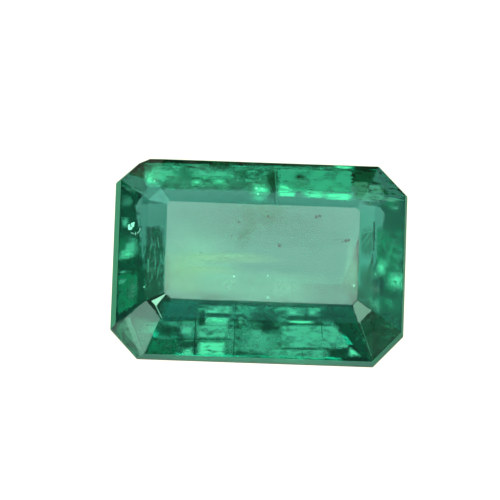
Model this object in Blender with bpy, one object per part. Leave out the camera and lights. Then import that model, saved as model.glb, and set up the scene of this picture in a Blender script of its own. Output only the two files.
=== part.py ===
"""An emerald in the octagonal step cut, lying on the broad back facet of its underside.

The stone is made as a cutter makes it: a block is ground away one flat facet at a time. Its own
frame has the table up, the length along X and the middle of the girdle at the origin. The stone is
then leaned back until the broad back facet is level, and set down on it.
"""

import math

import bmesh
import bpy
from mathutils import Matrix, Vector

MM = 0.001

# Heights of the level lines above the middle of the girdle
TABLE = 0.86 * MM
STEP_LINE = 0.68 * MM
BEVEL_TOP = 0.17 * MM
GIRDLE_TOP = 0.06 * MM
GIRDLE_BOTTOM = -0.06 * MM
FIRST_BREAK = -0.53 * MM
SECOND_BREAK = -0.86 * MM
THIRD_BREAK = -1.35 * MM
KEEL = -1.96 * MM

# The keel is the ridge that the underside narrows to, cut a little nearer the front
KEEL_HALF_LENGTH = 2.01 * MM
KEEL_FORWARD = 0.19 * MM

# How far in from the girdle the three breaks of the underside lie, on each kind of side
FRONT_INSETS = (0.30 * MM, 0.60 * MM, 1.14 * MM)
BACK_INSETS = (0.19 * MM, 0.35 * MM, 0.74 * MM)
END_INSETS = (0.27 * MM, 0.53 * MM, 0.94 * MM)
CORNER_INSETS = (0.11 * MM, 0.35 * MM, 0.86 * MM)

# The eight sides, cut by hand and so not quite even. Each has the way it faces in degrees from +X,
# its distance from the stone's axis at the girdle, the top of the bevel, the step line and the
# table, and its insets below
SIDES = {
    "right": (0.0, (3.50 * MM, 3.46 * MM, 2.72 * MM, 2.37 * MM), END_INSETS),
    "back_right": (44.0, (3.75 * MM, 3.72 * MM, 2.86 * MM, 2.46 * MM), CORNER_INSETS),
    "back": (90.0, (2.50 * MM, 2.47 * MM, 1.56 * MM, 1.19 * MM), BACK_INSETS),
    "back_left": (134.0, (3.77 * MM, 3.73 * MM, 2.79 * MM, 2.37 * MM), CORNER_INSETS),
    "left": (180.0, (3.50 * MM, 3.39 * MM, 2.70 * MM, 2.24 * MM), END_INSETS),
    "front_left": (223.0, (3.78 * MM, 3.63 * MM), CORNER_INSETS),
    "front": (270.0, (2.50 * MM, 2.44 * MM, 1.64 * MM, 1.24 * MM), FRONT_INSETS),
    "front_right": (318.0, (3.75 * MM, 3.69 * MM, 2.89 * MM, 2.50 * MM), CORNER_INSETS),
}

# The front left corner's crown facets were turned while they were cut, and a sliver of a facet was
# added beside the step. Each has the way it faces, and its distances at two heights
TURNED_FACETS = {
    "main": (226.9, (3.60 * MM, 2.763 * MM), (BEVEL_TOP, STEP_LINE)),
    "step": (233.5, (2.659 * MM, 2.223 * MM), (STEP_LINE, TABLE)),
    "sliver": (229.5, (2.725 * MM, 2.293 * MM), (STEP_LINE, TABLE)),
}

# One small extra facet takes off the point where the back meets its left corner
NICK_FACING = 115.0
NICK_AT_GIRDLE = 3.41 * MM
NICK_AT_STEP = 2.47 * MM

# The block that the stone is cut from, and how near a cut counts as meeting a corner
BLOCK = Vector((8.0, 6.0, 5.0)) * MM
MEET = 0.00005 * MM

GREEN = (0.02, 0.30, 0.16, 1.0)
ROUGHNESS = 0.03


def clear_scene():
    for item in list(bpy.data.objects):
        bpy.data.objects.remove(item, do_unlink=True)


def facing(degrees):
    """The level direction that a side faces."""
    angle = math.radians(degrees)
    return Vector((math.cos(angle), math.sin(angle), 0.0))


def cut(stone, point, normal):
    """Grinds away all that lies past one plane and closes the cut with a flat facet."""
    everything = stone.verts[:] + stone.edges[:] + stone.faces[:]
    result = bmesh.ops.bisect_plane(stone, geom=everything, dist=MEET, plane_co=point,
                                    plane_no=normal, clear_outer=True)
    edges = [item for item in result["geom_cut"] if isinstance(item, bmesh.types.BMEdge)]
    open_rim = [edge for edge in edges if edge.is_boundary]
    if open_rim:
        bmesh.ops.contextual_create(stone, geom=open_rim)


def cut_facet(stone, way, outer, outer_height, inner, inner_height):
    """Cuts the facet that runs from a level line to one nearer the stone's axis."""
    run = outer - inner
    rise = abs(outer_height - inner_height)
    upright = math.copysign(run, inner_height - outer_height)
    normal = way * rise + Vector((0.0, 0.0, upright))
    cut(stone, way * outer + Vector((0.0, 0.0, outer_height)), normal.normalized())


def cut_tiers(stone, way, distances, heights):
    """Cuts one side's facets in turn, each between two neighbouring level lines."""
    lines = list(zip(distances, heights))
    for (outer, outer_height), (inner, inner_height) in zip(lines, lines[1:]):
        cut_facet(stone, way, outer, outer_height, inner, inner_height)


def keel_distance(way):
    """How far the keel reaches from the stone's axis in a given direction."""
    return abs(way.x) * KEEL_HALF_LENGTH - way.y * KEEL_FORWARD


def cut_girdle(stone):
    for degrees, crown, _ in SIDES.values():
        cut(stone, facing(degrees) * crown[0], facing(degrees))
    cut(stone, facing(NICK_FACING) * NICK_AT_GIRDLE, facing(NICK_FACING))


def cut_crown(stone):
    cut(stone, Vector((0.0, 0.0, TABLE)), Vector((0.0, 0.0, 1.0)))
    for degrees, crown, _ in SIDES.values():
        cut_tiers(stone, facing(degrees), crown, (GIRDLE_TOP, BEVEL_TOP, STEP_LINE, TABLE))
    for degrees, distances, heights in TURNED_FACETS.values():
        cut_tiers(stone, facing(degrees), distances, heights)
    nick = (NICK_AT_GIRDLE, NICK_AT_STEP)
    cut_tiers(stone, facing(NICK_FACING), nick, (GIRDLE_TOP, STEP_LINE))


def cut_underside(stone):
    for degrees, crown, insets in SIDES.values():
        way = facing(degrees)
        girdle = crown[0]
        breaks = [girdle - inset for inset in insets]
        heights = (GIRDLE_BOTTOM, FIRST_BREAK, SECOND_BREAK, THIRD_BREAK, KEEL)
        cut_tiers(stone, way, (girdle, *breaks, keel_distance(way)), heights)


def cut_stone():
    stone = bmesh.new()
    bmesh.ops.create_cube(stone, size=1.0, matrix=Matrix.Diagonal((*BLOCK, 1.0)))
    cut_girdle(stone)
    cut_crown(stone)
    cut_underside(stone)
    bmesh.ops.recalc_face_normals(stone, faces=stone.faces[:])
    return stone


def stone_material():
    material = bpy.data.materials.new("green beryl")
    material.use_nodes = True
    shader = material.node_tree.nodes["Principled BSDF"]
    shader.inputs["Base Color"].default_value = GREEN
    shader.inputs["Roughness"].default_value = ROUGHNESS
    shader.inputs["Metallic"].default_value = 0.0
    material.diffuse_color = GREEN
    return material


def set_down(stone):
    """Leans the stone back onto its broad back facet and centres it over the origin."""
    girdle = SIDES["back"][1][0]
    run = girdle - BACK_INSETS[-1] - keel_distance(facing(90.0))
    lean = math.atan2(THIRD_BREAK - KEEL, run)
    turn = Matrix.Rotation(-lean, 4, "X")
    corners = [turn @ vertex.co for vertex in stone.data.vertices]
    lowest = Vector([min(corner[axis] for corner in corners) for axis in range(3)])
    highest = Vector([max(corner[axis] for corner in corners) for axis in range(3)])
    middle = (lowest + highest) / 2.0
    stone.rotation_euler = (-lean, 0.0, 0.0)
    stone.location = (-middle.x, -middle.y, -lowest.z)
    return lean


def main():
    clear_scene()
    collection = bpy.data.collections.new("emerald")
    bpy.context.scene.collection.children.link(collection)
    shape = cut_stone()
    mesh = bpy.data.meshes.new("cut_stone")
    shape.to_mesh(mesh)
    shape.free()
    stone = bpy.data.objects.new("cut_stone", mesh)
    stone.data.materials.append(stone_material())
    collection.objects.link(stone)
    lean = set_down(stone)
    print(f"{len(mesh.polygons)} facets, leaned back {math.degrees(lean):.2f} degrees")
    return stone


main()
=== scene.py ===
# %% [markdown]
# # A step-cut emerald
# One loose emerald lies on a pale surface, on the broad back facet of its underside. The packed
# solid gives its true shape, so it is loaded first and everything else is placed by it. What is
# left to make is what a jeweller's loupe shows: worn facet edges, the green that deepens with
# every millimetre of stone, and the garden of specks, needles and veils inside.

# %% Load the frame
import math

import bpy
from mathutils import Matrix, Vector, noise
from mathutils.bvhtree import BVHTree


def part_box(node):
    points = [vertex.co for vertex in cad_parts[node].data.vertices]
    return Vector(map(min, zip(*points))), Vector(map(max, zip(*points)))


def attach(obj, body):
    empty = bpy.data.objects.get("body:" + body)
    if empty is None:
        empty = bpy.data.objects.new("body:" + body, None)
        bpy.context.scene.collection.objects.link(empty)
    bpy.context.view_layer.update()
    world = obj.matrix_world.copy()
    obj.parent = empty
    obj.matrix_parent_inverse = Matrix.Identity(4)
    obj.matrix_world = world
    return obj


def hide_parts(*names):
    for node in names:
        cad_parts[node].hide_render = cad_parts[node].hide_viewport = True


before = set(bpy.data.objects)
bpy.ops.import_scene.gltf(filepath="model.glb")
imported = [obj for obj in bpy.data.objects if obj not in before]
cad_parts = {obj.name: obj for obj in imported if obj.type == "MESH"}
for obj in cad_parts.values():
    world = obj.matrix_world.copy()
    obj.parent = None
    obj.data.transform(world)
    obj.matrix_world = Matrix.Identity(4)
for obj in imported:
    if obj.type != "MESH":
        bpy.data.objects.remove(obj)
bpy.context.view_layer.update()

MM = 0.001
LOW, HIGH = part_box("cut_stone")
CUT_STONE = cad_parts["cut_stone"]
length, width, depth = (HIGH - LOW) / MM
print(f"stone {length:.2f} x {width:.2f} x {depth:.2f} mm")

# %% [markdown]
# The picture was taken from straight above, from about a forearm's length away, with a long lens:
# the near and far edges of the girdle differ by less than one part in a hundred. The stone lies
# a little clockwise and a little below the middle of the frame. Moving the camera gives that
# framing. A lens shift would give it too, but it would follow the camera into every other view.

# %% Camera
FRAME_PIXELS = 500
PIXELS_PER_MM = 41.75
CAMERA_HEIGHT = 0.230
CAMERA_ROLL = math.radians(2.0)
STONE_MIDDLE_PIXEL = Vector((259.2, 262.7))
SENSOR = 36.0
NEAREST_SEEN = 0.01
# the scale above holds at this height over the middle of the stone's box
SCALE_ABOVE_MIDDLE = 0.2 * MM

scale_height = (LOW.z + HIGH.z) / 2 + SCALE_ABOVE_MIDDLE
aside = (Vector((FRAME_PIXELS, FRAME_PIXELS)) / 2 - STONE_MIDDLE_PIXEL) / PIXELS_PER_MM * MM
camera_data = bpy.data.cameras.new("camera")
camera = bpy.data.objects.new("camera", camera_data)
bpy.context.scene.collection.objects.link(camera)
bpy.context.scene.camera = camera
camera.rotation_euler = (0.0, 0.0, CAMERA_ROLL)
roll = Matrix.Rotation(CAMERA_ROLL, 3, "Z")
camera.location = roll @ Vector((aside.x, -aside.y, 0.0)) + Vector((0.0, 0.0, CAMERA_HEIGHT))
camera_data.sensor_width = SENSOR
frame_width = FRAME_PIXELS / PIXELS_PER_MM * MM
camera_data.lens = SENSOR * (CAMERA_HEIGHT - scale_height) / frame_width
camera_data.clip_start = NEAREST_SEEN
print(f"lens {camera_data.lens:.0f} mm, frame {frame_width / MM:.1f} mm wide")

# %% [markdown]
# A speck inside a stone isn't where the eye puts it, because its light bends at the facet above it.
# So a speck is placed the way it is seen: a ray goes from the camera through a point of the
# picture, bends where it meets the stone by Snell's law, and runs on to a chosen depth.

# %% Rays into the stone
BERYL_IOR = 1.577
JUST_INSIDE = 0.001 * MM
MIDDLE_OF_STONE = 0.5
BACK_INSIDE = 0.01
surface = BVHTree.FromObject(CUT_STONE, bpy.context.evaluated_depsgraph_get())


def view_ray(pixel):
    """The direction from the camera through a point of the 500 x 500 picture."""
    across = (Vector(pixel) - Vector((FRAME_PIXELS, FRAME_PIXELS)) / 2) / FRAME_PIXELS
    across *= camera_data.sensor_width / camera_data.lens
    return (roll @ Vector((across.x, -across.y, -1.0))).normalized()


def bent(ray, normal):
    """The ray after it has entered the stone through a facet."""
    ratio = 1.0 / BERYL_IOR
    cosine = -ray.dot(normal)
    inside = math.sqrt(1.0 - ratio ** 2 * (1.0 - cosine ** 2))
    return (ratio * ray + (ratio * cosine - inside) * normal).normalized()


def seen_at(pixel, depth):
    """The place inside the stone that shows at a picture point, at a depth below the facet."""
    hit = None
    while hit is None:
        ray = view_ray(pixel)
        hit, normal, _, _ = surface.ray_cast(camera.location, ray)
        pixel = Vector(pixel).lerp(STONE_MIDDLE_PIXEL, BACK_INSIDE)
    inward = bent(ray, normal)
    _, _, _, through = surface.ray_cast(hit + inward * JUST_INSIDE, inward)
    return hit + inward * min(depth, through * MIDDLE_OF_STONE)


TABLE_MIDDLE_PIXEL = (262.0, 253.0)
table_middle = seen_at(TABLE_MIDDLE_PIXEL, 0.0)
print("middle of the table", [round(value / MM, 2) for value in table_middle])

# %% [markdown]
# ## The stone
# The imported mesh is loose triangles. On the real stone each facet is one flat face, and where two
# facets meet the edge is not razor sharp: polishing and wear have rounded it by a hundredth of a
# millimetre, which is what draws the thin bright lines between the facets. So a copy of the mesh is
# welded, its triangles are dissolved into whole facets, and every edge gets a narrow bevel. A
# Bevel modifier would do the same, but in edit mode the facets are joined and bevelled in one go.

# %% Polished stone
EDGE_WEAR = 0.013 * MM
EDGE_STEPS = 2
WELD = 0.0002 * MM
FLAT_ENOUGH = math.radians(0.4)


def select_only(*pieces):
    for item in bpy.context.selected_objects:
        item.select_set(False)
    for piece in pieces:
        piece.select_set(True)
    bpy.context.view_layer.objects.active = pieces[0]


stone = bpy.data.objects.new("polished_stone", CUT_STONE.data.copy())
bpy.context.scene.collection.objects.link(stone)
select_only(stone)
bpy.ops.object.mode_set(mode="EDIT")
bpy.ops.mesh.select_all(action="SELECT")
bpy.ops.mesh.remove_doubles(threshold=WELD)
bpy.ops.mesh.dissolve_limited(angle_limit=FLAT_ENOUGH)
bpy.ops.mesh.select_all(action="SELECT")
bpy.ops.mesh.bevel(offset=EDGE_WEAR, segments=EDGE_STEPS, affect="EDGES", clamp_overlap=True)
bpy.ops.object.mode_set(mode="OBJECT")
bpy.ops.object.shade_flat()
stone.data.materials.clear()
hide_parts("cut_stone")
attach(stone, "root")
print(f"{len(stone.data.polygons)} faces after the bevel")

# %% [markdown]
# ## Shared shader helpers
# Every finish here works in millimetres on Object coordinates, so that a pattern keeps its real
# size and stays on its piece. One node group makes a soft-edged cloud mask out of noise, which the
# polish, the veils and the specks all use. Another fades a sheet out towards its own four edges,
# raggedly, because a veil in a stone never ends in a ruled line. How wide it fades is the sheet's
# softness, a share of its width that is kept as an attribute on its mesh.

# %% Node groups
CLOUD_DETAIL = 3.0
# the part of the noise that becomes a mask when nothing of it should be cut off
FULL_SWING = {"Low": 0.2, "High": 0.8}


def group(name, inputs, outputs):
    """A new shader node group with its sockets, and its input and output nodes."""
    tree = bpy.data.node_groups.new(name, "ShaderNodeTree")
    for title, kind, value in inputs:
        socket = tree.interface.new_socket(name=title, in_out="INPUT", socket_type=kind)
        socket.default_value = value
    for title, kind in outputs:
        tree.interface.new_socket(name=title, in_out="OUTPUT", socket_type=kind)
    return tree, tree.nodes.new("NodeGroupInput"), tree.nodes.new("NodeGroupOutput")


def placed(nodes, tree, **values):
    """Puts a node group in a material and sets its inputs."""
    node = nodes.new("ShaderNodeGroup")
    node.node_tree = tree
    for title, value in values.items():
        node.inputs[title].default_value = value
    return node


def math_node(nodes, operation, *values):
    node = nodes.new("ShaderNodeMath")
    node.operation = operation
    for socket, value in zip(node.inputs, values):
        if isinstance(value, bpy.types.NodeSocket):
            node.id_data.links.new(value, socket)
        else:
            socket.default_value = value
    return node


def make_cloud_group():
    inputs = [("Stretch", "NodeSocketVector", (1.0, 1.0, 1.0)), ("Size", "NodeSocketFloat", 1.0),
              ("Low", "NodeSocketFloat", 0.45), ("High", "NodeSocketFloat", 0.6)]
    tree, given, result = group("cloud mask", inputs, [("Mask", "NodeSocketFloat")])
    nodes, links = tree.nodes, tree.links
    place = nodes.new("ShaderNodeTexCoord")
    scale = nodes.new("ShaderNodeVectorMath")
    scale.operation = "SCALE"
    scale.inputs["Scale"].default_value = 1.0 / MM
    links.new(place.outputs["Object"], scale.inputs[0])
    stretch = nodes.new("ShaderNodeVectorMath")
    stretch.operation = "DIVIDE"
    links.new(scale.outputs[0], stretch.inputs[0])
    links.new(given.outputs["Stretch"], stretch.inputs[1])
    per_size = math_node(nodes, "DIVIDE", 1.0, given.outputs["Size"])
    speckle = nodes.new("ShaderNodeTexNoise")
    speckle.inputs["Detail"].default_value = CLOUD_DETAIL
    links.new(stretch.outputs[0], speckle.inputs["Vector"])
    links.new(per_size.outputs[0], speckle.inputs["Scale"])
    ramp = nodes.new("ShaderNodeMapRange")
    ramp.interpolation_type = "SMOOTHSTEP"
    links.new(speckle.outputs["Fac"], ramp.inputs["Value"])
    links.new(given.outputs["Low"], ramp.inputs["From Min"])
    links.new(given.outputs["High"], ramp.inputs["From Max"])
    links.new(ramp.outputs["Result"], result.inputs["Mask"])
    return tree


CLOUD = make_cloud_group()


def make_edge_group():
    inputs = [("Ragged", "NodeSocketFloat", 0.1), ("Size", "NodeSocketFloat", 0.08)]
    tree, given, result = group("sheet edge", inputs, [("Mask", "NodeSocketFloat")])
    nodes, links = tree.nodes, tree.links
    place = nodes.new("ShaderNodeTexCoord")
    apart = nodes.new("ShaderNodeSeparateXYZ")
    links.new(place.outputs["UV"], apart.inputs[0])
    sides = []
    for axis in ("X", "Y"):
        far = math_node(nodes, "SUBTRACT", 1.0, apart.outputs[axis])
        sides.append(math_node(nodes, "MINIMUM", apart.outputs[axis], far.outputs[0]))
    tear = placed(nodes, CLOUD, **FULL_SWING)
    links.new(given.outputs["Size"], tear.inputs["Size"])
    centred = math_node(nodes, "SUBTRACT", tear.outputs["Mask"], 0.5)
    torn = math_node(nodes, "MULTIPLY", centred.outputs[0], given.outputs["Ragged"])
    fade = nodes.new("ShaderNodeAttribute")
    fade.attribute_name = "softness"
    steps = []
    for side in sides:
        moved = math_node(nodes, "ADD", side.outputs[0], torn.outputs[0])
        step = nodes.new("ShaderNodeMapRange")
        step.interpolation_type = "SMOOTHSTEP"
        links.new(moved.outputs[0], step.inputs["Value"])
        links.new(fade.outputs["Fac"], step.inputs["From Max"])
        steps.append(step)
    both = math_node(nodes, "MULTIPLY", steps[0].outputs["Result"], steps[1].outputs["Result"])
    links.new(both.outputs[0], result.inputs["Mask"])
    return tree


SHEET_EDGE = make_edge_group()
print("shader groups:", CLOUD.name, "and", SHEET_EDGE.name)

# %% [markdown]
# ## Green beryl
# Emerald is beryl with a trace of chromium. Its colour isn't on its surface: the stone swallows red
# strongly and blue a little, so a thin stretch of it is pale and a long path through it is deep
# green. Volume Absorption does just that. A tinted surface would give every facet the same
# green. The surface itself is clear and bends light by beryl's own index. Its polish is good but
# old, so a fine bump adds the faint waviness of hand polishing, and roughness a few dull streaks.

# %% Stone material
SWALLOWED_PER_MM = (1.0, 0.27, 0.36)
POLISH_WAVE = 0.012 * MM
SWELL_SIZE = 1.4
STREAK_SIZE = 0.5
STREAK_STRETCH = (9.0, 0.35, 1.0)
STREAK_SHARE = 0.12
UNTINTED = (1.0, 1.0, 1.0, 1.0)
POLISHED = (0.015, 0.05)


def new_material(name):
    material = bpy.data.materials.new(name)
    material.use_nodes = True
    shader = material.node_tree.nodes["Principled BSDF"]
    return material, material.node_tree.nodes, material.node_tree.links, shader


def add_bump(nodes, links, shader, height, depth):
    bump = nodes.new("ShaderNodeBump")
    bump.inputs["Distance"].default_value = depth
    links.new(height, bump.inputs["Height"])
    links.new(bump.outputs["Normal"], shader.inputs["Normal"])


def add_roughness(nodes, links, shader, mask, smooth, dull):
    """Makes the surface smooth where the mask is black and dull where it is white."""
    rough = nodes.new("ShaderNodeMapRange")
    rough.inputs["To Min"].default_value = smooth
    rough.inputs["To Max"].default_value = dull
    links.new(mask, rough.inputs["Value"])
    links.new(rough.outputs["Result"], shader.inputs["Roughness"])


def clear_beryl(name, tint, clearness, smooth, dull):
    """Stone that swallows light as emerald does, with the finish of its surface."""
    material, nodes, links, shader = new_material(name)
    shader.inputs["Base Color"].default_value = tint
    shader.inputs["Transmission Weight"].default_value = clearness
    shader.inputs["IOR"].default_value = BERYL_IOR
    swell = placed(nodes, CLOUD, Size=SWELL_SIZE, **FULL_SWING)
    streak = placed(nodes, CLOUD, Stretch=STREAK_STRETCH, Size=STREAK_SIZE, **FULL_SWING)
    both = math_node(nodes, "MULTIPLY_ADD", streak.outputs["Mask"], STREAK_SHARE, swell.outputs["Mask"])
    add_bump(nodes, links, shader, both.outputs[0], POLISH_WAVE)
    add_roughness(nodes, links, shader, streak.outputs["Mask"], smooth, dull)
    green = nodes.new("ShaderNodeVolumeAbsorption")
    most = max(SWALLOWED_PER_MM)
    green.inputs["Color"].default_value = (*[1.0 - value / most for value in SWALLOWED_PER_MM], 1.0)
    green.inputs["Density"].default_value = most / MM
    links.new(green.outputs["Volume"], nodes["Material Output"].inputs["Volume"])
    return material


stone.data.materials.append(clear_beryl("green beryl", UNTINTED, 1.0, *POLISHED))
print("green beryl swallows per mm:", SWALLOWED_PER_MM)

# %% [markdown]
# The girdle and the narrow bevel above it are only ground, not polished. They scatter light and
# draw a pale, slightly milky band round the stone. Their frost lets half of the light through and
# throws the other half back in its own green, so the band stays pale where the stone behind it is
# dark. They are the faces near the girdle's plane, so they are found by their height above it,
# measured along the way that the table faces.

# %% Ground girdle
GIRDLE_MIDDLE = Vector((0.0, 0.0, 1.814 * MM))
GROUND_BAND = (-0.08 * MM, 0.19 * MM)
FROSTED = (0.12, 0.36, 0.22, 1.0)
FROST_CLEARNESS = 0.5
GROUND_DOWN = (0.35, 0.5)

table = max(stone.data.polygons, key=lambda face: face.area if face.normal.z > 0 else 0.0)
table_up = table.normal.copy()
stone.data.materials.append(clear_beryl("ground beryl", FROSTED, FROST_CLEARNESS, *GROUND_DOWN))
ground = 0
for face in stone.data.polygons:
    heights = [(stone.data.vertices[i].co - GIRDLE_MIDDLE).dot(table_up) for i in face.vertices]
    if GROUND_BAND[0] < min(heights) and max(heights) < GROUND_BAND[1]:
        face.material_index = 1
        ground += 1
print(f"{ground} faces of the girdle are ground, table leans {math.degrees(table_up.angle((0, 0, 1))):.1f}")

# %% [markdown]
# ## The garden inside
# No natural emerald is clean. Healed cracks hang in it as veils, thin sheets of tiny droplets that
# catch light and look mint green or milky. Growth lines cross it at right angles, needles and dark
# mineral grains float in it, and parts of it are simply dark because no light comes back from
# there. Many of the sheets paint light and shade: the mint and glowing sheets are painted
# reflections of the light that the facets send back inside the stone, and the dark sheets are
# painted shade where the facets reflect darkness. A real veil is a sheet, so each is modelled as
# one: a grid added as a primitive, spread over a four-cornered patch of the picture at its depth,
# rippled, and given a hair of thickness by Solidify. Volume noise could fake it, but it would be
# slow, and lost from the exported model. The sheets of one region hang a few thousandths of a
# millimetre below each other, the first one nearest the facet, so a bright sheet is listed before
# the broad dim one that it stands out from.

# %% Veils and painted light
SHEET_COLUMNS = 12
SHEET_ROWS = 9
SHEET_THICKNESS = 0.002 * MM
# depths, and what is added to them, are in millimetres
RIPPLE = 0.001
RIPPLE_PER_MM = 3.0
VEIL_SPACING = 0.0045
inclusions_and_painted_light = {}


def keep(finish, piece, strength, softness):
    """Notes a piece's own fading on its mesh and puts it with the others of its finish."""
    for name, value in (("strength", strength), ("softness", softness)):
        attribute = piece.data.attributes.new(name, "FLOAT", "POINT")
        attribute.data.foreach_set("value", [value] * len(piece.data.vertices))
    inclusions_and_painted_light.setdefault(finish, []).append(piece)


def lay_veil(name, finish, strength, softness, corners, depth):
    """A thin sheet inside the stone that shows as a four-cornered patch of the picture."""
    bpy.ops.mesh.primitive_grid_add(x_subdivisions=SHEET_COLUMNS, y_subdivisions=SHEET_ROWS, size=1.0)
    sheet = bpy.context.object
    sheet.name = name
    top_left, top_right, low_right, low_left = [Vector(corner) for corner in corners]
    for vertex in sheet.data.vertices:
        across, down = vertex.co.x + 0.5, 0.5 - vertex.co.y
        pixel = top_left.lerp(top_right, across).lerp(low_left.lerp(low_right, across), down)
        ripple = RIPPLE * noise.noise((*(pixel / PIXELS_PER_MM * RIPPLE_PER_MM), depth))
        vertex.co = seen_at(pixel, (depth + ripple) * MM)
    solidify = sheet.modifiers.new("thickness", "SOLIDIFY")
    solidify.thickness = SHEET_THICKNESS
    bpy.ops.object.modifier_apply(modifier=solidify.name)
    keep(finish, sheet, strength, softness)


def lay_veils(veils, depth):
    """Lays a region's veils one below the other, so that no two touch."""
    for step, (name, (finish, strength, softness, *corners)) in enumerate(veils.items()):
        lay_veil(name, finish, strength, softness, corners, depth + VEIL_SPACING * step)
    print(len(veils), "veils")


# %% [markdown]
# A needle is a thin cylinder between two points, and a bent crack line is a few of them end to end.
# A grain is an icosphere pushed in and out by noise, because a perfect ball looks like a bubble.

# %% Needles and specks
NEEDLE_SIDES = 6
LUMPINESS = 0.35
LUMPS_ACROSS = 1.3


def lay_needle(name, finish, width, depth, *points):
    """A thin hollow tube or crack line that follows points of the picture, its width in pixels."""
    places = [seen_at(point, depth * MM) for point in points]
    for start, end in zip(places, places[1:]):
        along = end - start
        bpy.ops.mesh.primitive_cylinder_add(vertices=NEEDLE_SIDES, radius=width / PIXELS_PER_MM * MM / 2,
                                            depth=along.length, location=(start + end) / 2,
                                            rotation=along.to_track_quat("Z", "Y").to_euler())
        bpy.ops.object.transform_apply(location=True, rotation=True, scale=True)
        bpy.context.object.name = name
        keep(finish, bpy.context.object, 1.0, 0.0)


def lay_needles(needles, depth):
    for name, (finish, width, *points) in needles.items():
        lay_needle(name, finish, width, depth, *points)
    print(len(needles), "needles")


def lay_speck(name, finish, size, pixel, depth):
    """A small lumpy grain, its size in pixels."""
    radius = size / PIXELS_PER_MM * MM / 2
    bpy.ops.mesh.primitive_ico_sphere_add(subdivisions=2, radius=radius)
    grain = bpy.context.object
    grain.name = name
    place = seen_at(pixel, depth * MM)
    for vertex in grain.data.vertices:
        lump = noise.noise(vertex.co / radius * LUMPS_ACROSS + place / MM)
        vertex.co = place + vertex.co * (1.0 + LUMPINESS * lump)
    keep(finish, grain, 1.0, 0.0)


def lay_specks(specks, depth):
    for name, (finish, size, pixel) in specks.items():
        lay_speck(name, finish, size, pixel, depth)
    print(len(specks), "specks")


# %% [markdown]
# The top of the picture is the back of the crown. Left of the middle a round veil hangs like a
# bubble, with a straight crack beside it. Right of the crack the light that comes back is painted
# as a bright mint strip of glowing sheets, with painted glints along the rim, and at the corner a
# veil breaks up in small grey steps. The dark sheets at the rim, the crack and the corners are
# painted shade. Broad weak sheets of painted mottled light, painted shade and a faintly glowing
# wash lie below the small veils, so that the stone between them is never left quite even.

# %% Back of the crown
BACK_DEPTH = 0.06
CORNER_DEPTH = 0.05
BACK_VEILS = {
    # finish, strength, softness, and the corners in the picture from the top left, clockwise
    "rim_shadow": ("dark", 0.90, 0.30, (206, 161), (234, 162.5), (233, 166.5), (208, 165.5)),
    "rim_glint": ("glow", 0.80, 0.35, (331, 164.5), (354, 166), (354, 169.5), (334, 168.5)),
    "rim_mist": ("pale", 0.60, 0.40, (318, 165.5), (334, 166.5), (334, 169.5), (320, 169)),
    "left_glint": ("glow", 0.62, 0.48, (141, 168), (157, 169), (157, 188), (144, 188)),
    "left_straw": ("pale", 0.55, 0.45, (164, 172), (186, 173), (184, 188), (163, 188)),
    "spot_one": ("glow", 0.50, 0.48, (189, 178), (204, 178), (204, 187), (190, 187)),
    "spot_two": ("glow", 0.50, 0.48, (211, 177), (229, 177.5), (228, 187), (210, 186)),
    "upright_streak": ("pale", 0.60, 0.45, (234, 172), (242, 172), (242, 192), (234, 192)),
    "bubble_light": ("glow", 0.70, 0.45, (250, 182), (273, 184), (272, 197), (250, 196)),
    "bubble_low": ("mint", 0.50, 0.45, (247, 193), (271, 194), (268, 203), (250, 203)),
    "bubble": ("pale", 0.60, 0.40, (243, 174), (272, 174), (272, 200), (243, 200)),
    "crack_shadow": ("dark", 0.60, 0.40, (264, 163), (277, 163), (279, 204), (266, 204)),
    "strip_start": ("glow", 1.00, 0.22, (276.5, 189), (298, 190), (296, 197.5), (277.5, 197)),
    "strip_upper": ("glow", 0.70, 0.40, (276.5, 183), (286, 185), (299, 191), (277, 191)),
    "strip_middle": ("glow", 0.85, 0.40, (299, 189), (328, 190.5), (330, 199.5), (300, 198.5)),
    "strip_end": ("glow", 1.00, 0.28, (322, 191.5), (355, 193), (355, 201.5), (322, 200)),
    "right_mist": ("pale", 0.70, 0.45, (280, 184), (306, 175), (322, 180), (296, 192)),
    "right_smudge": ("dark", 0.45, 0.48, (292, 173), (310, 173), (310, 181), (292, 181)),
    "left_green": ("mint", 0.55, 0.35, (143, 165), (185, 165), (180, 180), (143, 190)),
    "middle_green": ("mint", 0.50, 0.35, (184, 166), (243, 168), (240, 180), (184, 178)),
    "right_green": ("wash", 0.90, 0.06, (276.5, 168), (354, 171), (354, 193), (277, 191)),
    "lower_mist": ("pale", 0.55, 0.30, (160, 177), (250, 179), (250, 192), (158, 190)),
    "back_mottle": ("mottle", 0.75, 0.10, (143, 164), (353, 168), (353, 192), (147, 190)),
    "back_shade": ("shade", 0.40, 0.10, (143, 164), (353, 168), (353, 192), (147, 190)),
    "back_wash": ("wash", 0.50, 0.06, (141, 162), (354, 167), (354, 191), (146, 189)),
}
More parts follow.
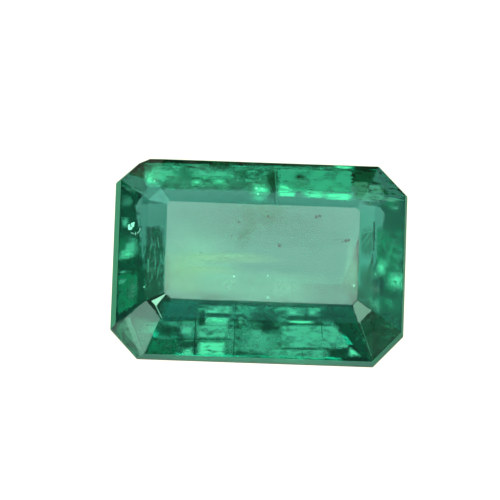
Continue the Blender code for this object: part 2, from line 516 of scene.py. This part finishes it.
CORNER_VEILS = {
    "step_one": ("grey", 0.80, 0.18, (352, 181), (369, 181), (371, 193), (352, 192)),
    "step_two": ("grey", 0.75, 0.20, (367, 184), (385, 185), (385, 195), (368, 194)),
    "step_three": ("grey", 0.80, 0.16, (353, 189), (385, 192), (386, 201), (353, 200)),
    "step_four": ("grey", 0.70, 0.30, (372, 194), (405, 200), (398, 204.5), (378, 200)),
    "step_five": ("pale", 0.60, 0.40, (386, 204), (403, 203), (403, 212), (388, 212)),
    "crossing_shadow": ("dark", 0.95, 0.35, (360, 200), (389, 202), (389, 209), (362, 205)),
    "right_corner_shade": ("dark", 0.90, 0.12, (353, 169), (380, 171), (388, 186), (353, 184)),
    "right_corner_dark": ("dark", 1.00, 0.10, (378, 171), (385, 173), (405, 197), (383, 197)),
    "left_corner_line": ("pale", 0.45, 0.40, (120, 184), (134, 187), (137, 195), (126, 192)),
    "left_corner_dark": ("dark", 1.00, 0.10, (119, 182), (142, 165), (147, 193), (118, 187)),
    "left_corner_low": ("dark", 0.85, 0.20, (117, 184), (141, 191), (139, 206), (117, 208)),
    # painted shade: a teal sheet that tones down the bright reflection on the step beside the table
    "left_step_calm": ("teal", 0.40, 0.16, (141, 186), (163, 185), (173, 204), (139, 206)),
}
lay_veils(BACK_VEILS, BACK_DEPTH)
lay_veils(CORNER_VEILS, CORNER_DEPTH)

# %% [markdown]
# The front of the crown shows the growth of the crystal: straight lines that cross at right angles
# and cut the mint light into rectangles. The mint panes are painted light, glowing sheets for the
# light that the facets reflect there, and the dark sheets between and round them are painted shade.
# Towards the corner on the right one facet of the underside stays dark, and a sharp dark triangle
# of painted shade stands for it. The panes are listed before the broad painted shadows and the
# painted mottled light, which then lie deeper and don't cover them.

# %% Front of the crown
FRONT_DEPTH = 0.06
FRONT_VEILS = {
    "olive_spot": ("dark", 0.95, 0.40, (197, 309), (206, 308), (206, 328), (197, 328)),
    "pane_two_glint": ("glow", 0.75, 0.40, (205, 317.5), (230, 318.5), (230, 323), (205, 322.5)),
    "pane_one": ("mint", 0.90, 0.20, (205, 304.5), (234, 305.5), (233, 314), (204, 313.5)),
    "pane_gap": ("dark", 0.75, 0.30, (203, 312.5), (234, 313.5), (234, 317.5), (203, 316.5)),
    "pane_two": ("mint", 0.90, 0.22, (204, 316), (231, 317), (230, 326.5), (202, 326)),
    "pane_three": ("mint", 0.90, 0.35, (180, 323), (195, 319), (195, 339), (177, 335)),
    "pane_four": ("mint", 0.80, 0.14, (196, 324), (230, 325), (229, 338.5), (196, 338)),
    "pane_five": ("glow", 0.75, 0.35, (182, 350), (194, 345), (194, 357), (181, 357)),
    "pane_six": ("glow", 0.80, 0.20, (196, 341), (228, 341), (226, 356.5), (196, 356)),
    "pane_seven": ("mint", 0.50, 0.35, (227, 324), (236, 324), (236, 356), (226, 355)),
    "small_pane": ("glow", 0.65, 0.48, (236.5, 316), (244, 316), (244, 325), (236.5, 325)),
    "middle_pane": ("mint", 0.50, 0.22, (249, 328), (264, 329), (263, 343), (249, 342)),
    "left_dark_band": ("dark", 0.70, 0.45, (154, 322), (180, 323), (178, 340), (150, 339)),
    "left_low_dark": ("dark", 0.65, 0.40, (176, 340), (195, 340), (194, 349), (176, 349)),
    "corner_glint": ("glow", 0.85, 0.40, (348, 346.5), (353, 348), (364, 357), (347, 358)),
    "rim_glint_front": ("glow", 0.75, 0.35, (269, 358), (306, 358.5), (322, 364), (270, 363)),
    "right_line": ("glow", 0.90, 0.35, (283, 319.8), (318, 320.8), (318, 324), (283, 323.5)),
    # painted shade: the dark underside facet near the right corner
    "dark_triangle": ("dark", 1.00, 0.04, (334, 322), (352, 306), (368, 356), (362, 355)),
    "dark_above_triangle": ("dark", 0.95, 0.15, (331, 305), (353, 305), (350, 326), (333, 324)),
    "right_pane_one": ("mint", 0.95, 0.40, (283, 306), (308, 307), (307, 317), (283, 316.5)),
    "right_pane_two": ("mint", 0.85, 0.45, (306, 307.5), (321, 308.5), (321, 317.5), (306, 317.5)),
    "right_gap": ("dark", 0.60, 0.35, (281, 315), (323, 316), (323, 320), (281, 319.5)),
    "right_pane_three": ("mint", 0.90, 0.08, (280, 325), (336, 325), (353, 348.5), (278, 348)),
    "right_pane_four": ("mint", 0.85, 0.16, (264, 349), (330, 349.5), (330, 359), (266, 358)),
    "right_low_dark": ("dark", 0.85, 0.20, (329, 349), (348, 349), (348, 358), (329, 358)),
    "right_shadow": ("dark", 0.60, 0.35, (319, 306), (335, 306), (335, 324), (320, 323)),
    "middle_dark": ("dark", 0.55, 0.45, (244, 303), (288, 305), (284, 340), (248, 336)),
    "middle_low": ("mint", 0.50, 0.30, (236, 328), (285, 328), (283, 358), (236, 357)),
    "low_left_green": ("leaf", 0.80, 0.20, (147, 338), (180, 338), (180, 357), (145, 356)),
    "teal_sheet": ("teal", 0.80, 0.16, (158, 299), (202, 300), (198, 322), (160, 323)),
    "under_table_shadow": ("dark", 0.60, 0.35, (204, 299.5), (338, 304), (338, 309), (205, 305)),
    "front_mottle": ("mottle", 0.85, 0.08, (180, 303), (335, 306), (352, 357), (150, 357)),
    "front_shade": ("shade", 0.55, 0.08, (180, 303), (335, 306), (352, 357), (150, 357)),
    "front_wash": ("wash", 0.90, 0.08, (160, 303), (333, 306), (356, 358), (146, 357)),
}
lay_veils(FRONT_VEILS, FRONT_DEPTH)

# %% [markdown]
# The two ends of the crown. On the left a chip-like reflection glitters over a green patch with a
# sharp lower edge; the reflection is painted with glowing specks, and the patch and the dark sheets
# round it paint the light and shade there. The step beside the table is streaked with painted
# shade. On the right a dark needle runs beside a light one, and two soft lights, painted as glowing
# sheets, glow lower down. A third set lies close below the facets of the front left corner. The
# sliver facet there flashes nearly white, and a lamp small enough for it would light the step beside
# it too, so the flash is a painted highlight, a pale glowing veil. A grey sheet paints the dull
# sheen that the broad facet next to it reflects.

# %% Ends of the crown
END_DEPTH = 0.05
FLASH_DEPTH = 0.03
LEFT_VEILS = {
    # painted reflection: the chip glints are glowing sheets of the spark finish
    "chip_glint_one": ("spark", 1.00, 0.25, (127.8, 225), (130.2, 223.8), (130.6, 230), (128.3, 229.8)),
    "chip_glint_two": ("spark", 1.00, 0.25, (131.2, 223), (134.6, 222), (134, 226.8), (131.6, 227)),
    "chip_glint_three": ("spark", 0.80, 0.35, (130, 227.5), (132.5, 227), (132, 229.5), (130, 229.5)),
    "soft_glow": ("mint", 0.80, 0.48, (121, 216), (130, 216), (130, 229), (121, 229)),
    "chip_shadow": ("dark", 0.90, 0.40, (130, 226), (142, 225), (142, 234), (130, 235)),
    "upper_glow": ("mint", 0.35, 0.48, (119, 194), (134, 195), (134, 208), (119, 208)),
    "upper_shadow": ("dark", 0.75, 0.25, (117, 202), (138, 204), (139, 240), (117, 240)),
    "patch_edge": ("glow", 0.55, 0.45, (116.5, 250), (134, 247), (137, 257), (116.5, 262)),
    "patch_left": ("leaf", 0.70, 0.40, (116.5, 234), (127, 234), (127, 254), (116.5, 256)),
    "green_patch": ("mint", 0.60, 0.40, (122, 234), (139, 233), (141, 257), (117, 261)),
    "patch_shadow": ("dark", 0.90, 0.22, (116.5, 260.5), (138, 256.5), (143, 271), (116.5, 272)),
    "low_spot_one": ("mint", 0.60, 0.48, (118, 268), (129, 268), (129, 275), (118, 275)),
    "low_spot_two": ("mint", 0.45, 0.48, (117, 278), (127, 277), (127, 285), (117, 286)),
    "low_paler": ("pale", 0.50, 0.45, (128, 275), (140, 274), (138, 304), (127, 309)),
    "low_green": ("leaf", 0.85, 0.12, (116.5, 271), (139, 269), (138, 304), (117, 318)),
    "step_streaks": ("wisp", 0.80, 0.20, (144, 236), (165, 232), (165, 290), (141, 294)),
    "step_band": ("pale", 0.40, 0.45, (139, 266), (165, 266), (165, 273), (139, 273)),
    "step_dark_upper": ("streak", 0.95, 0.25, (144, 225), (165, 224), (165, 250), (145, 246)),
    "step_dark_middle": ("streak", 0.90, 0.15, (143, 243), (165.5, 243), (165.5, 272), (140, 272)),
    "step_dark_lower": ("dark", 0.85, 0.14, (138, 269), (165.5, 268), (164, 292), (138, 305)),
    "left_shade": ("shade", 0.40, 0.10, (117, 205), (143, 206), (142, 300), (117, 315)),
    "left_mottle": ("mottle", 0.55, 0.10, (117, 205), (143, 206), (142, 300), (117, 315)),
}
RIGHT_VEILS = {
    "glow_one": ("glow", 0.50, 0.50, (374, 257), (388, 257), (388, 279), (375, 278)),
    "glow_one_tail": ("pale", 0.70, 0.48, (369, 264), (381, 264), (381, 283), (370, 282)),
    "glow_two": ("glow", 0.55, 0.50, (387, 268), (407, 270), (407, 294), (386, 292)),
    "rosy_patch": ("rosy", 0.80, 0.45, (371, 280), (381, 280), (381, 299), (371, 299)),
    "upper_dark": ("dark", 0.85, 0.25, (384, 206), (405, 200), (405, 232), (380, 230)),
    "fade_streaks": ("streak", 0.75, 0.40, (359, 226), (375, 222), (375, 262), (359, 262)),
    "needle_side": ("leaf", 0.75, 0.20, (376, 226), (387, 218), (386, 266), (376, 266)),
    "low_streaks": ("streak", 0.70, 0.35, (358, 262), (374, 262), (374, 302), (358, 299)),
    "low_wisps": ("wisp", 0.55, 0.35, (358, 260), (384, 260), (382, 312), (358, 300)),
    "low_mist": ("pale", 0.60, 0.40, (366, 296), (382, 296), (382, 317), (370, 312)),
    "low_dark_one": ("dark", 0.35, 0.45, (383, 288), (404, 291), (403, 303), (381, 302)),
    "corner_side_dark": ("dark", 0.90, 0.12, (358, 322), (372, 312), (374, 358), (367, 355)),
    "low_arc_one": ("leaf", 0.80, 0.45, (378, 321), (398, 325), (397, 331), (378, 327)),
    "low_arc_two": ("leaf", 0.70, 0.45, (380, 334), (398, 331), (395, 338), (380, 341)),
    "low_dark_two": ("dark", 0.90, 0.15, (371, 313), (404, 311), (403, 340), (370, 334)),
    "corner_dark": ("dark", 0.70, 0.12, (370, 328), (403, 336), (383, 358), (371, 358)),
    "right_shade": ("shade", 0.30, 0.12, (383, 226), (405, 226), (404, 316), (381, 316)),
    "right_mottle": ("mottle", 0.45, 0.15, (383, 226), (405, 226), (404, 316), (381, 316)),
    "right_wash": ("leaf", 0.70, 0.15, (384, 224), (405.5, 222), (405, 316), (382, 316)),
}
FLASH_VEILS = {
    "sliver_flash": ("flash", 1.00, 0.02, (151.2, 301), (165.2, 294), (165.4, 294.6), (155.8, 306.4)),
    # painted reflection: grey sheets for the sheen of the broad corner facet
    "facet_painted_sheen": ("grey", 0.85, 0.10, (117, 325), (130, 315), (143, 352), (138, 349)),
    "facet_painted_sheen_low": ("grey", 0.60, 0.20, (130, 315), (150, 318), (152, 336), (143, 353)),
}
lay_veils(LEFT_VEILS, END_DEPTH)
lay_veils(RIGHT_VEILS, END_DEPTH)
lay_veils(FLASH_VEILS, FLASH_DEPTH)

# %% [markdown]
# Through the table the stone looks cleanest. A faint milky haze lies at both sides and along the
# lower edge, partly a real haze and partly painted light that brightens those parts, with
# straw-coloured bands on the left. The upper half is painted a little darker by a thin teal sheet
# of painted shade. A dusky cloud hangs near the upper edge, and a streak slants down from it.

# %% Under the table
TABLE_DEPTH = 0.12
TABLE_VEILS = {
    "right_edge_haze": ("haze", 0.30, 0.45, (350, 226), (359, 226), (359, 308), (334, 309)),
    "straw_band_one": ("straw", 0.48, 0.45, (163, 249), (290, 253), (290, 265), (163, 264)),
    "straw_band_two": ("straw", 0.36, 0.45, (163, 263), (246, 265), (246, 276), (163, 275)),
    "straw_side": ("straw", 0.44, 0.48, (160, 246), (210, 250), (210, 305), (160, 300)),
    "brown_cloud": ("brown", 0.75, 0.45, (232, 200), (292, 202), (290, 226), (234, 228)),
    "diagonal_streak": ("brown", 0.80, 0.45, (246, 216), (262, 220), (244, 254), (230, 249)),
    "upper_shade": ("teal", 0.27, 0.45, (150, 182), (376, 190), (376, 268), (150, 240)),
    "left_edge_haze": ("haze", 0.34, 0.50, (158, 225), (188, 230), (188, 302), (158, 298)),
    "left_haze": ("haze", 0.42, 0.48, (150, 205), (250, 208), (250, 304), (150, 300)),
    "lower_haze": ("haze", 0.42, 0.45, (160, 262), (361, 270), (361, 312), (160, 304)),
}
lay_veils(TABLE_VEILS, TABLE_DEPTH)

# %% [markdown]
# Last come the small things: dark mineral grains, pin-point droplets, growth tubes, crack lines and
# scratches. Each is less than a tenth of a millimetre across, most of them far less. The droplets
# and stars glow as painted glints, and some light lines are painted highlights along facet edges.

# %% Grains and needles
GRAIN_DEPTH = 0.10
NEEDLE_DEPTH = 0.035
GRAINS = {
    # finish, size in pixels, and the place in the picture
    "grain_one": ("mineral", 2.8, (268, 216)), "grain_two": ("mineral", 2.2, (239, 222)),
    "grain_three": ("mineral", 3.4, (316.3, 217)), "grain_four": ("mineral", 3.2, (319.6, 216)),
    "grain_five": ("mineral", 3.6, (279.6, 245.6)), "grain_six": ("mineral", 3.4, (345.8, 240.8)),
    "grain_seven": ("mineral", 2.8, (348.8, 240.2)), "grain_eight": ("mineral", 2.0, (342.5, 241.6)),
    "grain_nine": ("mineral", 1.2, (333.5, 240)), "grain_ten": ("mineral", 1.1, (332, 243.5)),
    "grain_eleven": ("mineral", 1.2, (178, 272)), "grain_twelve": ("mineral", 1.8, (231.6, 235.7)),
    # painted glints: the droplets and stars are glowing specks of the spark finish
    "droplet_glint_one": ("spark", 1.6, (233.6, 276.5)), "droplet_glint_two": ("spark", 1.3, (267.8, 275.8)),
    "droplet_glint_three": ("spark", 1.3, (267.8, 297.5)), "droplet_glint_four": ("spark", 1.5, (353.8, 285.7)),
    "bubble_star_one": ("spark", 2.6, (256.5, 188.5)), "bubble_star_two": ("spark", 1.8, (262, 189)),
    "bubble_star_three": ("spark", 1.5, (258, 194)), "pane_star": ("spark", 1.8, (206.5, 321)),
    "left_star_one": ("spark", 1.5, (154.5, 181)), "left_star_two": ("spark", 1.2, (145.5, 176.5)),
    "left_star_three": ("spark", 1.3, (197, 182)), "step_star": ("spark", 1.3, (144, 287)),
    "pane_dot": ("mineral", 3.6, (195, 346)), "pane_dot_small": ("mineral", 1.4, (209.5, 350.5)),
    "step_dot": ("mineral", 1.8, (146.5, 262.5)), "crown_dot": ("mineral", 3.2, (299, 177)),
}
NEEDLES = {
    # finish, width in pixels, and the points of the picture that it runs through
    "dark_needle_upper": ("mineral", 1.9, (374.0, 222), (374.0, 231)),
    "dark_needle_middle": ("mineral", 2.8, (373.8, 231), (373.6, 241)),
    "dark_needle_lower": ("mineral", 1.6, (373.6, 241), (373.4, 251)),
    "light_needle": ("light", 0.6, (375.8, 226), (375.8, 262)),
    # painted highlight along the edge of the sliver facet
    "facet_edge_light": ("spark", 0.5, (156, 306), (161.6, 317.6)),
    "light_scratch_one": ("light", 0.5, (360, 234), (373, 231)),
    "light_scratch_two": ("light", 0.5, (361, 245), (369, 234)),
    "crack": ("light", 0.7, (274.8, 167), (276.2, 187), (277.0, 203)),
    "crack_dark": ("mineral", 0.6, (273.6, 188), (275.2, 204)),
    "growth_line_one": ("thread", 0.9, (176, 339), (232, 339.3)),
    "growth_line_two": ("thread", 1.2, (195.5, 317), (194.6, 355)),
    "growth_line_three": ("thread", 0.8, (235.5, 303), (233.6, 357)),
    "growth_line_four": ("thread", 0.9, (321.2, 311), (322.2, 338)),
    "growth_line_five": ("thread", 0.9, (281, 324), (330, 325)),
    "growth_line_six": ("thread", 0.8, (203, 315), (232, 316)),
    "growth_line_seven": ("thread", 0.7, (282, 318), (334, 318)),
    "growth_line_eight": ("thread", 0.7, (281, 348.5), (350, 349.5)),
    "growth_line_nine": ("thread", 0.6, (302, 349), (303, 358)),
    "growth_line_ten": ("thread", 0.7, (183, 356.5), (300, 358.5)),
    # painted highlights: these light lines and the chip arc run along facet edges
    "corner_line_left": ("light", 0.8, (118, 184), (134, 189.5), (145, 194)),
    "corner_line_right": ("light", 0.7, (376, 196), (404, 200.5)),
    "strip_line": ("light", 0.5, (277, 192.6), (352, 193.4)),
    "edge_line": ("light", 0.5, (166, 189.7), (250, 192)),
    "chip_glint_arc": ("spark", 0.6, (131, 232.6), (134, 234), (137, 233.4), (139.5, 231), (140.3, 228)),
    "step_streak_one": ("light", 0.8, (145.4, 234), (145.0, 252)),
    "step_streak_two": ("light", 0.7, (157.5, 236), (159, 248)),
    "step_streak_three": ("light", 0.5, (162.8, 232), (163.3, 258)),
    "table_scratch": ("thread", 0.4, (337, 285.5), (352, 287)),
    "table_thread": ("thread", 0.4, (333.5, 240), (344, 239)),
    # painted highlight along the edge of the corner facet
    "lower_corner_line": ("light", 0.6, (360, 322), (371.5, 356)),
    "rosy_line": ("mineral", 0.8, (376, 284), (376.4, 295)),
}
lay_specks(GRAINS, GRAIN_DEPTH)
lay_needles(NEEDLES, NEEDLE_DEPTH)

# %% [markdown]
# ## Finishes of the garden
# A veil is neither clear nor solid. It lets part of the light through, and scatters the rest in the
# colour of the green stone round it. So its material is plain and matt, and its Alpha does the
# work: clouds of droplets, fading towards the sheet's edges, times the strength set for that sheet.
# The bright finishes also give off a little light, a painted glow that stands for the light that the
# facets and droplets gather from all round the stone. That would take far more bounces to trace.
# The dark finishes are painted shade.

# %% Materials of inclusions and painted light
FINISHES = {
    # base colour, size of the clouds in mm, where they start and end, stretch, painted glow
    # flash, glow and spark are painted highlights and glints; mint, wash and mottle are painted light
    # reflected by the facets; pale, grey, wisp and light are real milky veils, streaks and cracks with a
    # painted sheen, and some light lines are painted edge highlights; all of these glow a little as painted
    # light. dark, shade, streak, teal and leaf are painted shade, the deeper green where the facets reflect
    # darkness. haze is partly a real milky haze and partly painted light. straw, brown, rosy, thread and
    # mineral are the stone's own tones, lines and grains.
    "flash": ((0.62, 0.86, 0.70), 0.20, (0.00, 0.20), (1.0, 1.0, 1.0), 0.25),
    "mint": ((0.17, 0.72, 0.49), 0.20, (0.22, 0.58), (1.4, 0.8, 1.0), 0.16),
    "glow": ((0.18, 0.90, 0.56), 0.12, (0.20, 0.54), (2.0, 0.7, 1.0), 0.28),
    "pale": ((0.16, 0.50, 0.34), 0.18, (0.26, 0.64), (1.4, 0.8, 1.0), 0.05),
    "grey": ((0.13, 0.36, 0.23), 0.12, (0.10, 0.55), (1.8, 0.7, 1.0), 0.03),
    "teal": ((0.012, 0.18, 0.13), 0.30, (0.00, 0.50), (1.0, 1.0, 1.0), 0.0),
    "dark": ((0.0, 0.100, 0.044), 0.16, (0.05, 0.52), (1.2, 0.8, 1.0), 0.0),
    "shade": ((0.0, 0.110, 0.050), 0.24, (0.44, 0.68), (1.4, 0.8, 1.0), 0.0),
    "mottle": ((0.12, 0.58, 0.37), 0.20, (0.44, 0.68), (1.5, 0.8, 1.0), 0.08),
    "wisp": ((0.10, 0.45, 0.30), 0.11, (0.46, 0.70), (0.5, 3.4, 1.0), 0.03),
    "streak": ((0.0, 0.110, 0.058), 0.14, (0.26, 0.60), (0.7, 2.2, 1.0), 0.0),
    "leaf": ((0.008, 0.33, 0.15), 0.20, (0.15, 0.60), (1.0, 1.0, 1.0), 0.0),
    "wash": ((0.11, 0.54, 0.36), 0.22, (0.10, 0.60), (1.4, 0.9, 1.0), 0.06),
    "haze": ((0.51, 0.77, 0.59), 0.90, (0.10, 0.60), (1.0, 1.0, 1.0), 0.0),
    "straw": ((0.62, 0.74, 0.42), 0.60, (0.05, 0.60), (2.4, 0.5, 1.0), 0.0),
    "brown": ((0.02, 0.29, 0.155), 0.20, (0.26, 0.62), (1.0, 1.0, 1.0), 0.0),
    "rosy": ((0.20, 0.30, 0.22), 0.10, (0.20, 0.60), (0.6, 1.8, 1.0), 0.0),
    "spark": ((0.45, 0.95, 0.75), 0.05, (0.00, 0.20), (1.0, 1.0, 1.0), 0.60),
    "light": ((0.12, 0.50, 0.33), 0.08, (0.20, 0.60), (1.0, 1.0, 1.0), 0.05),
    "thread": ((0.003, 0.080, 0.040), 0.10, (0.15, 0.50), (1.0, 1.0, 1.0), 0.0),
    "mineral": ((0.012, 0.030, 0.015), 0.04, (0.00, 0.30), (1.0, 1.0, 1.0), 0.0),
}
# needles and grains, which have no sheet edges to fade out at
SOLID_FINISHES = ("spark", "light", "thread", "mineral")
RAGGED = 0.05
DULL = 0.75
FAINT_GLOSS = 0.1
THIN_TONE = 0.7


def inclusion_and_painted_light_material(finish):
    """A matt sheet that paints droplets, light and shade, thinner and darker where its mask fades."""
    colour, size, (low, high), stretch, painted_glow = FINISHES[finish]
    material, nodes, links, shader = new_material(f"{finish} inclusion_and_painted_light")
    shader.inputs["Specular IOR Level"].default_value = FAINT_GLOSS
    shader.inputs["Emission Strength"].default_value = painted_glow
    clouds = placed(nodes, CLOUD, Size=size, Low=low, High=high, Stretch=stretch)
    tone = nodes.new("ShaderNodeMix")
    tone.data_type = "RGBA"
    tone.inputs["A"].default_value = (*[value * THIN_TONE for value in colour], 1.0)
    tone.inputs["B"].default_value = (*colour, 1.0)
    links.new(clouds.outputs["Mask"], tone.inputs["Factor"])
    links.new(tone.outputs["Result"], shader.inputs["Base Color"])
    if painted_glow:
        links.new(tone.outputs["Result"], shader.inputs["Emission Color"])
    add_roughness(nodes, links, shader, clouds.outputs["Mask"], DULL, 1.0)
    strength = nodes.new("ShaderNodeAttribute")
    strength.attribute_name = "strength"
    dense = math_node(nodes, "MULTIPLY", clouds.outputs["Mask"], strength.outputs["Fac"])
    if finish not in SOLID_FINISHES:
        edge = placed(nodes, SHEET_EDGE, Ragged=RAGGED)
        dense = math_node(nodes, "MULTIPLY", dense.outputs[0], edge.outputs["Mask"])
    links.new(dense.outputs[0], shader.inputs["Alpha"])
    return material


# each finish's sheets are joined into one piece; most of them are painted light or shade
for finish, pieces in inclusions_and_painted_light.items():
    select_only(*pieces)
    bpy.ops.object.join()
    garden = bpy.context.object
    garden.name = f"{finish}_inclusions"
    garden.data.materials.clear()
    garden.data.materials.append(inclusion_and_painted_light_material(finish))
    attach(garden, "root")
    print(garden.name, len(garden.data.polygons), "faces")

# %% [markdown]
# ## The surface it lies on
# The ground is plain white paper, lit so evenly that no shadow shows. An emitting plane gives that.
# A diffuse plane would take a dark, noisy shadow below a clear stone, because light that is
# focused through glass is slow to trace. What shines up through the stone is set apart from what
# the camera sees, because real paper below a stone gets less light than paper in the open. For the
# stone the paper also grows dim further out, so that the facets which mirror it at a low angle stay
# dark.

# %% Floor
FLOOR_SIZE = 2.0
FLOOR_GAP = 0.01 * MM
PAPER_SEEN = 1.25
PAPER_BELOW_STONE = 0.52
PAPER_COLOUR = (1.0, 0.95, 0.825, 1.0)
PAPER_LIT_TO = 8.0 * MM
PAPER_DIM_FROM = 22.0 * MM
PAPER_FAR_OFF = 0.06


def paper_material():
    material = bpy.data.materials.new("white paper")
    material.use_nodes = True
    nodes, links = material.node_tree.nodes, material.node_tree.links
    nodes.clear()
    glow = nodes.new("ShaderNodeEmission")
    glow.inputs["Color"].default_value = PAPER_COLOUR
    path = nodes.new("ShaderNodeLightPath")
    place = nodes.new("ShaderNodeTexCoord")
    away = nodes.new("ShaderNodeVectorMath")
    away.operation = "LENGTH"
    links.new(place.outputs["Object"], away.inputs[0])
    near = nodes.new("ShaderNodeMapRange")
    near.inputs["From Min"].default_value = PAPER_LIT_TO
    near.inputs["From Max"].default_value = PAPER_DIM_FROM
    near.inputs["To Min"].default_value = PAPER_BELOW_STONE
    near.inputs["To Max"].default_value = PAPER_FAR_OFF
    links.new(away.outputs["Value"], near.inputs["Value"])
    level = nodes.new("ShaderNodeMapRange")
    links.new(near.outputs["Result"], level.inputs["To Min"])
    level.inputs["To Max"].default_value = PAPER_SEEN
    links.new(path.outputs["Is Camera Ray"], level.inputs["Value"])
    links.new(level.outputs["Result"], glow.inputs["Strength"])
    result = nodes.new("ShaderNodeOutputMaterial")
    links.new(glow.outputs["Emission"], result.inputs["Surface"])
    return material


bpy.ops.mesh.primitive_plane_add(size=FLOOR_SIZE, location=(0.0, 0.0, -FLOOR_GAP))
floor = bpy.context.object
floor.name = "paper"
floor.data.materials.append(paper_material())
print("floor", FLOOR_SIZE, "m wide")

# %% [markdown]
# ## Light
# A clear stone is lit by what surrounds it: each facet picks one direction of the room and shows it.
# So the room is built of soft lamps all round and above the stone, each a bright round patch of
# the sky with a soft edge. Area lamps would work too, but patches of the World make no noise and
# never get in the way of the camera. Directions are counted from +X, and heights from the horizon.
# The stone was first rendered under one lamp at a time, to learn which facets each of them lights.
# The first strengths came from a fit of those renders to the tones of the facets. They were then
# changed render after render, and rounded.

# %% Soft lamps
LAMPS = {
    # height, direction and spread in degrees, and how much red, green and blue it gives
    "right": (54, 0, 7, (3.5, 7.4, 5.3)),
    "back_left_low": (22, 112, 14, (1.8, 5.9, 4.7)),
    "back": (50, 90, 14, (3.0, 4.3, 3.8)),
    "left": (46, 197, 7, (2.5, 4.7, 3.8)),
    "front_low": (22, 292, 14, (2.7, 2.5, 3.6)),
    "skyline_front_left": (8, 202, 14, (1.7, 3.0, 2.4)),
    "skyline_back": (8, 68, 14, (0.4, 0.9, 0.8)),
    "skyline_back_right": (8, 45, 14, (0.3, 1.7, 1.4)),
    "back_right": (36, 60, 14, (0.8, 1.4, 0.6)),
    "skyline_left": (8, 180, 14, (0.2, 1.3, 1.0)),
    "right_low": (26, 30, 8, (0.3, 1.4, 0.8)),
    "skyline_right": (8, 0, 14, (0.3, 1.2, 0.9)),
    "back_right_low": (22, 45, 14, (0.2, 1.0, 0.8)),
    "overhead_right": (80, 0, 14, (0.2, 0.7, 0.8)),
    "skyline_front": (8, 270, 14, (0.4, 0.6, 0.8)),
    "overhead_front": (80, 270, 14, (0.1, 0.7, 0.5)),
    "back_left": (50, 120, 14, (0.2, 0.5, 0.4)),
    "overhead_back": (80, 90, 14, (0.1, 0.2, 0.1)),
}


def build_world():
    """A black sky with one soft-edged patch of light for each lamp, all added up."""
    world = bpy.data.worlds.new("room")
    bpy.context.scene.world = world
    world.use_nodes = True
    nodes, links = world.node_tree.nodes, world.node_tree.links
    background = nodes["Background"]
    place = nodes.new("ShaderNodeTexCoord")
    total = None
    for height, way, spread, colour in LAMPS.values():
        height, way = math.radians(height), math.radians(way)
        level, sharp = math.cos(height), 1.0 / math.radians(spread) ** 2
        towards = nodes.new("ShaderNodeVectorMath")
        towards.operation = "DOT_PRODUCT"
        towards.inputs[1].default_value = (level * math.cos(way), level * math.sin(way), math.sin(height))
        links.new(place.outputs["Generated"], towards.inputs[0])
        near = math_node(nodes, "MULTIPLY_ADD", towards.outputs["Value"], sharp, -sharp)
        soft = math_node(nodes, "EXPONENT", near.outputs[0])
        lamp = nodes.new("ShaderNodeVectorMath")
        lamp.operation = "MULTIPLY_ADD"
        lamp.inputs[1].default_value = colour
        links.new(soft.outputs[0], lamp.inputs[0])
        if total:
            links.new(total, lamp.inputs[2])
        total = lamp.outputs[0]
    links.new(total, background.inputs["Color"])


build_world()
print(len(LAMPS), "soft lamps")

# %% [markdown]
# ## Tracing
# Light turns many times inside a stone before it finds a way out, so the tracer needs many more
# bounces than a plain scene, and no blurring of sharp paths. A ray also crosses one veil after
# another, and each of them counts as a see-through surface. White paper should come out white, so
# the view transform is the plain one.

# %% Render limits
BOUNCES = 32
VEILS_CROSSED = 64

scene = bpy.context.scene
scene.view_settings.view_transform = "Standard"
scene.cycles.max_bounces = BOUNCES
scene.cycles.transmission_bounces = BOUNCES
scene.cycles.glossy_bounces = BOUNCES
scene.cycles.transparent_max_bounces = VEILS_CROSSED
scene.cycles.blur_glossy = 0.0
scene.cycles.caustics_reflective = True
scene.cycles.caustics_refractive = True
print("bounces", scene.cycles.max_bounces)
